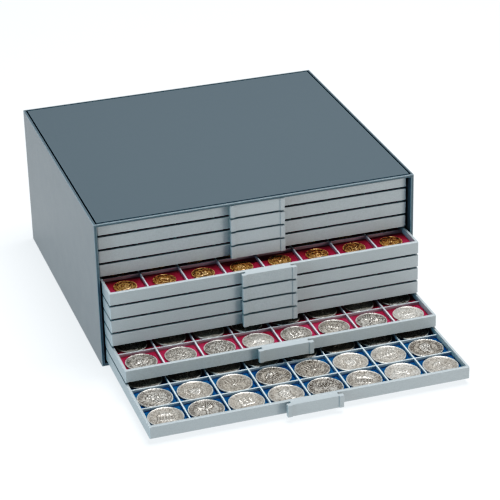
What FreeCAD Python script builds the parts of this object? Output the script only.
import FreeCAD, Part

import os
import re

import Sketcher
from FreeCAD import Vector

# Coin collector cabinet: an open-fronted case with ten shallow drawers that slide on ledges.
# Millimetres. Origin: centre of the underside of the case. +X right, +Y to the back, +Z up.

DRAWERS = 10
TRAVEL_SHOWN = ["shut"] * 4 + ["group_pull"] * 4 + ["ninth_pull", "tenth_pull"]

# Driving dimensions. Each one can be changed by itself.
SIZES = {
    # case
    "case_width": 380.0,
    "case_depth": 357.0,
    "wall_thickness": 3.5,
    "top_thickness": 3.0,
    "base_thickness": 3.5,
    "back_thickness": 3.5,
    "edge_radius": 0.6,
    "groove_inset": 2.8,
    "groove_width": 1.6,
    "groove_depth": 1.8,
    # stack of drawers
    "drawer_height": 14.5,
    "drawer_gap": 2.55,
    "under_gap": 3.0,
    "over_gap": 0.55,
    "side_gap": 2.1,
    "rear_gap": 1.5,
    "front_recess": 9.0,
    # ledges that carry the drawers
    "ledge_thickness": 1.5,
    "ledge_grip": 4.9,
    "ledge_clearance": 0.3,
    "ledge_setback": 5.0,
    # drawer tray
    "tray_front": 3.6,
    "tray_wall": 2.8,
    "tray_floor": 1.5,
    "tray_bed": 4.7,
    "tray_corner": 1.2,
    "tray_edge": 0.4,
    # felt and dividers
    "columns": 8,
    "rows": 8,
    "liner_thickness": 0.8,
    "liner_clearance": 0.2,
    "divider_thickness": 1.4,
    "divider_drop": 3.4,
    "divider_clearance": 0.1,
    "lap_clearance": 0.05,
    # handle
    "handle_width": 64.5,
    "handle_overhang": 5.2,
    "finger_gap": 4.4,
    "handle_plate": 5.1,
    "handle_recess": 1.0,
    "handle_edge": 0.5,
    # coins: what is left free around each one in its cell
    "gold_margin": 7.2,
    "gold_thickness": 2.0,
    "middle_margin": 2.4,
    "middle_thickness": 2.4,
    "crown_margin": 0.4,
    "crown_thickness": 2.5,
    # how far the drawers stand open
    "shut": 0.0,
    "group_pull": 39.4,
    "ninth_pull": 94.4,
    "tenth_pull": 189.6,
}

COIN_ROWS = {5: ("gold", 2), 9: ("middle", 3), 10: ("crown", 4)}

doc = FreeCAD.newDocument("coin_cabinet")
sheet = doc.addObject("Spreadsheet::Sheet", "size")
for row, (alias, value) in enumerate(SIZES.items(), start=1):
    sheet.set("A%d" % row, alias)
    sheet.set("B%d" % row, str(value))
    sheet.setAlias("B%d" % row, alias)
doc.recompute()


def with_sheet(text):
    """Turn a formula in plain names into one that reads the sheet."""
    return re.sub(r"[a-z_]+", lambda word: "size." + word[0] if word[0] in SIZES else word[0], text)


# Lengths that follow from the driving dimensions.
STACK = f"({DRAWERS} * drawer_height + {DRAWERS - 1} * drawer_gap)"
WALL_HEIGHT = f"(base_thickness + under_gap + {STACK} + over_gap)"
INNER_WIDTH = "(case_width - 2 * wall_thickness)"
DRAWER_WIDTH = f"({INNER_WIDTH} - 2 * side_gap)"
DRAWER_DEPTH = "(case_depth - front_recess - rear_gap - back_thickness)"
HOLLOW_WIDTH = f"({DRAWER_WIDTH} - 2 * tray_wall)"
HOLLOW_DEPTH = f"({DRAWER_DEPTH} - tray_front - tray_wall)"
HOLLOW_MIDDLE = f"(tray_front + {HOLLOW_DEPTH} / 2)"
COLUMN_PITCH = f"(({HOLLOW_WIDTH} + divider_thickness) / columns)"
ROW_PITCH = f"(({HOLLOW_DEPTH} + divider_thickness) / rows)"
CELL = f"(min({COLUMN_PITCH}; {ROW_PITCH}) - divider_thickness)"
FLOOR_TOP = "(tray_bed + tray_floor)"
LINER_TOP = f"({FLOOR_TOP} + liner_thickness)"
DIVIDER_HEIGHT = f"(drawer_height - divider_drop - {LINER_TOP})"
LAP_HEIGHT = f"({DIVIDER_HEIGHT} / 2 + lap_clearance)"
LAP_WIDTH = "(divider_thickness + 2 * lap_clearance)"
LEDGE_REACH = "(side_gap + ledge_grip)"
LEDGE_LENGTH = "(case_depth - back_thickness - front_recess - ledge_setback)"


def bind(item, path, text):
    """Tie one property of an object to a formula."""
    item.setExpression(path, with_sheet(text))


def place(item, x="0", y="0", z="0"):
    """Tie an object's position to three formulas."""
    for axis, text in zip("xyz", (x, y, z)):
        bind(item, "Placement.Base." + axis, text)


def new_body(name):
    """A body that may hold several separate solids."""
    body = doc.addObject("PartDesign::Body", name)
    body.AllowCompound = True
    return body


def origin_part(body, role):
    """One of a body's own origin planes or axes."""
    return next(part for part in body.Origin.OriginFeatures if part.Role == role)


def rectangle(body, name, wide, deep, x="0", y="0", z="0", inner=None):
    """A sketch, parallel to the ground, of a rectangle centred at x, y, with an optional inner one."""
    sketch = body.newObject("Sketcher::SketchObject", name)
    sketch.AttachmentSupport = [(origin_part(body, "XY_Plane"), "")]
    sketch.MapMode = "FlatFace"
    for axis, text in zip("xyz", (x, y, z)):
        bind(sketch, "AttachmentOffset.Base." + axis, text)
    outlines = [(wide, deep)] + ([inner] if inner else [])
    for index, (size_x, size_y) in enumerate(outlines):
        half = 20.0 - 5.0 * index
        corners = [(-half, -half), (half, -half), (half, half), (-half, half)]
        first = 4 * index
        for start, end in zip(corners, corners[1:] + corners[:1]):
            sketch.addGeometry(Part.LineSegment(Vector(*start, 0), Vector(*end, 0)))
        for side in range(4):
            following = first + (side + 1) % 4
            sketch.addConstraint(Sketcher.Constraint("Coincident", first + side, 2, following, 1))
            direction = "Vertical" if side % 2 else "Horizontal"
            sketch.addConstraint(Sketcher.Constraint(direction, first + side))
        sketch.addConstraint(Sketcher.Constraint("Symmetric", first, 1, first + 1, 2, -1, 1))
        for kind, side, text in (("DistanceX", first, size_x), ("DistanceY", first + 1, size_y)):
            number = sketch.addConstraint(Sketcher.Constraint(kind, side, 1, side, 2, 2 * half))
            bind(sketch, "Constraints[%d]" % number, text)
    return sketch


def pad(body, name, height, wide, deep, **where):
    """Raise a rectangle into a block."""
    feature = body.newObject("PartDesign::Pad", name)
    feature.Profile = rectangle(body, name + "_outline", wide, deep, **where)
    bind(feature, "Length", height)
    body.Tip = feature
    return feature


def pocket(body, name, depth, wide, deep, upward=False, **where):
    """Sink a rectangle into the body, downwards unless told otherwise."""
    feature = body.newObject("PartDesign::Pocket", name)
    feature.Profile = rectangle(body, name + "_outline", wide, deep, **where)
    feature.Reversed = upward
    bind(feature, "Length", depth)
    body.Tip = feature
    return feature


def repeat(body, name, feature, role, pitch, count):
    """Repeat a feature along one of the body's axes."""
    pattern = body.newObject("PartDesign::LinearPattern", name)
    pattern.Originals = [feature]
    pattern.Direction = (origin_part(body, role), [""])
    pattern.Mode = "Spacing"
    bind(pattern, "Offset", pitch)
    bind(pattern, "Occurrences", count)
    body.Tip = pattern
    return pattern


def edges_where(shape, wanted):
    """Names of the edges whose middle point and direction pass a test."""
    names = []
    for index, edge in enumerate(shape.Edges, start=1):
        middle = edge.valueAt((edge.FirstParameter + edge.LastParameter) / 2)
        if wanted(middle, edge.tangentAt(edge.FirstParameter)):
            names.append("Edge%d" % index)
    return names


def round_edges(body, name, radius, wanted):
    """Fillet the edges of the body's last feature that pass a test."""
    doc.recompute()
    base = body.Tip
    feature = body.newObject("PartDesign::Fillet", name)
    feature.Base = (base, edges_where(base.Shape, wanted))
    bind(feature, "Radius", radius)
    body.Tip = feature


def box(name, wide, deep, high, x="0", y="0", z="0"):
    """A plain block centred on x, with its front at y and its underside at z."""
    block = doc.addObject("Part::Box", name)
    bind(block, "Length", wide)
    bind(block, "Width", deep)
    bind(block, "Height", high)
    place(block, f"{x} - ({wide}) / 2", y, z)
    return block


parts = []


def keep(item, label):
    """Name an object as one of the sub-parts."""
    item.Label = label
    parts.append(item)
    return item


# ---------------------------------------------------------------- case

def upright(direction):
    return abs(direction.z) > 0.9


def build_case():
    """Top, base, back and two side walls."""
    front = "- case_depth / 2"
    top = new_body("top")
    pad(top, "top_plate", "top_thickness", "case_width", "case_depth")
    thickness = SIZES["top_thickness"]
    round_edges(top, "top_edges", "edge_radius", lambda p, d: upright(d) or p.z > thickness - 0.01)
    ring = [f"({side} - 2 * groove_inset)" for side in ("case_width", "case_depth")]
    inside = [f"({side} - 2 * groove_width)" for side in ring]
    pocket(top, "top_groove", "groove_depth", *ring, z="top_thickness", inner=inside)
    place(top, z=WALL_HEIGHT)
    keep(top, "case_top")

    for side, sign in (("left", "-"), ("right", "")):
        outward = -1 if sign else 1
        wall = new_body(side + "_wall")
        pad(wall, side + "_panel", WALL_HEIGHT, "wall_thickness", "case_depth")
        round_edges(
            wall, side + "_edges", "edge_radius",
            lambda p, d, outward=outward: upright(d) and (p.y < 0 or p.x * outward > 0),
        )
        place(wall, x=f"{sign} (case_width - wall_thickness) / 2")
        keep(wall, f"case_{side}_wall")

    depth = "(case_depth - back_thickness)"
    keep(box("base", INNER_WIDTH, depth, "base_thickness", y=front), "case_base")
    back = box("back", INNER_WIDTH, "back_thickness", WALL_HEIGHT, y="case_depth / 2 - back_thickness")
    keep(back, "case_back")


def drawer_level(number):
    """Formula for the height of a drawer's underside; drawer 1 is the top one."""
    return f"(base_thickness + under_gap + {DRAWERS - number} * (drawer_height + drawer_gap))"


def build_ledges():
    """One ledge a side under each drawer, fixed to the side walls."""
    for side, sign in (("left", "-"), ("right", "")):
        strips = []
        for number in range(1, DRAWERS + 1):
            strip = box(
                f"{side}_ledge_{number}", LEDGE_REACH, LEDGE_LENGTH, "ledge_thickness",
                x=f"{sign} ({INNER_WIDTH} - {LEDGE_REACH}) / 2",
                y="- case_depth / 2 + front_recess + ledge_setback",
                z=f"{drawer_level(number)} - ledge_clearance - ledge_thickness",
            )
            strips.append(strip)
        group = doc.addObject("Part::Compound", side + "_ledge_group")
        group.Links = strips
        keep(group, f"{side}_ledges")


# ---------------------------------------------------------------- one drawer, at its own origin
# A drawer's origin is the middle of its front face's lower edge.

def build_tray():
    """Open tray with full-height sides and a raised floor, hollow below it."""
    tray = new_body("tray")
    pad(tray, "tray_block", "drawer_height", DRAWER_WIDTH, DRAWER_DEPTH, y=f"{DRAWER_DEPTH} / 2")
    round_edges(tray, "tray_corners", "tray_corner", lambda p, d: upright(d))
    round_edges(tray, "tray_rims", "tray_edge", lambda p, d: not upright(d))
    pocket(
        tray, "tray_hollow", f"drawer_height - {FLOOR_TOP}", HOLLOW_WIDTH, HOLLOW_DEPTH,
        y=HOLLOW_MIDDLE, z="drawer_height",
    )
    pocket(tray, "tray_underside", "tray_bed", HOLLOW_WIDTH, HOLLOW_DEPTH, upward=True, y=HOLLOW_MIDDLE)
    return [tray]


def build_handle():
    """Grip plate with a recessed face on a narrower neck, with room for a finger behind each end."""
    handle = new_body("handle")
    neck = "(handle_width - 2 * handle_overhang)"
    pad(handle, "neck", "drawer_height", neck, "finger_gap", y="- finger_gap / 2")
    pad(
        handle, "plate", "drawer_height", "handle_width", "handle_plate",
        y="- finger_gap - handle_plate / 2",
    )
    half = SIZES["handle_width"] / 2
    round_edges(handle, "handle_ends", "handle_edge", lambda p, d: upright(d) and abs(p.x) > half - 0.01)
    pocket(
        handle, "handle_face", "drawer_height", neck, "handle_recess",
        y="- finger_gap - handle_plate + handle_recess / 2", z="drawer_height",
    )
    return [handle]


def build_liner():
    """Sheet of felt on the floor of the tray."""
    wide = f"({HOLLOW_WIDTH} - 2 * liner_clearance)"
    deep = f"({HOLLOW_DEPTH} - 2 * liner_clearance)"
    return [box("liner", wide, deep, "liner_thickness", y="tray_front + liner_clearance", z=FLOOR_TOP)]


def build_dividers():
    """Long and cross strips that lap at half height where they cross."""
    first_column = f"(- {HOLLOW_WIDTH} / 2 + {COLUMN_PITCH} - divider_thickness / 2)"
    first_row = f"(tray_front + {ROW_PITCH} - divider_thickness / 2)"
    long_length = f"({HOLLOW_DEPTH} - 2 * divider_clearance)"
    cross_length = f"({HOLLOW_WIDTH} - 2 * divider_clearance)"

    strips = new_body("long_strips")
    strip = pad(
        strips, "long_strip", DIVIDER_HEIGHT, "divider_thickness", long_length,
        x=first_column, y=HOLLOW_MIDDLE, z=LINER_TOP,
    )
    repeat(strips, "long_row", strip, "X_Axis", COLUMN_PITCH, "columns - 1")
    notch = pocket(
        strips, "long_notch", LAP_HEIGHT, HOLLOW_WIDTH, LAP_WIDTH,
        upward=True, y=first_row, z=LINER_TOP,
    )
    repeat(strips, "long_notches", notch, "Y_Axis", ROW_PITCH, "rows - 1")

    crossing = new_body("cross_strips")
    strip = pad(
        crossing, "cross_strip", DIVIDER_HEIGHT, cross_length, "divider_thickness",
        y=first_row, z=LINER_TOP,
    )
    repeat(crossing, "cross_row", strip, "Y_Axis", ROW_PITCH, "rows - 1")
    notch = pocket(
        crossing, "cross_notch", LAP_HEIGHT, LAP_WIDTH, HOLLOW_DEPTH,
        x=first_column, y=HOLLOW_MIDDLE, z="drawer_height - divider_drop",
    )
    repeat(crossing, "cross_notches", notch, "X_Axis", COLUMN_PITCH, "columns - 1")
    return [strips, crossing]


def build_coins(kind, rows):
    """Coins in the cells of the front rows."""
    coins = []
    for row in range(rows):
        for column in range(int(SIZES["columns"])):
            coin = doc.addObject("Part::Cylinder", f"{kind}_coin_{row}_{column}")
            bind(coin, "Radius", f"{CELL} / 2 - {kind}_margin")
            bind(coin, "Height", f"{kind}_thickness")
            place(
                coin,
                f"{COLUMN_PITCH} * {column + 0.5} - ({HOLLOW_WIDTH} + divider_thickness) / 2",
                f"tray_front - divider_thickness / 2 + {ROW_PITCH} * {row + 0.5}",
                LINER_TOP,
            )
            coins.append(coin)
    return coins


def build_drawers():
    """Place a copy of each drawer piece at every level."""
    pieces = {
        "tray": build_tray(),
        "handle": build_handle(),
        "liner": build_liner(),
        "dividers": build_dividers(),
    }
    for number in range(1, DRAWERS + 1):
        contents = dict(pieces)
        if number in COIN_ROWS:
            contents["coins"] = build_coins(*COIN_ROWS[number])
        for piece, sources in contents.items():
            copy = doc.addObject("Part::Compound", f"drawer_{number}_{piece}_copy")
            copy.Links = sources
            pull = TRAVEL_SHOWN[number - 1]
            place(copy, y=f"- case_depth / 2 + front_recess - {pull}", z=drawer_level(number))
            keep(copy, f"drawer_{number}_{piece}")


build_case()
build_ledges()
build_drawers()
doc.recompute()

# Everything must have been built before any file is written.
for item in doc.Objects:
    if "Invalid" in item.State or "Error" in item.State:
        raise RuntimeError("failed: %s %s" % (item.Name, item.State))
for item in parts:
    if item.Shape.isNull() or not item.Shape.isValid():
        raise RuntimeError("bad shape: " + item.Label)

os.makedirs("parts", exist_ok=True)
for item in parts:
    item.Shape.exportStep("parts/%s.step" % item.Label)
    bounds = item.Shape.BoundBox
    print(
        "%-20s %3d solids %10.1f mm3  x %.2f %.2f  y %.2f %.2f  z %.2f %.2f" % (
            item.Label, len(item.Shape.Solids), item.Shape.Volume,
            bounds.XMin, bounds.XMax, bounds.YMin, bounds.YMax, bounds.ZMin, bounds.ZMax,
        )
    )
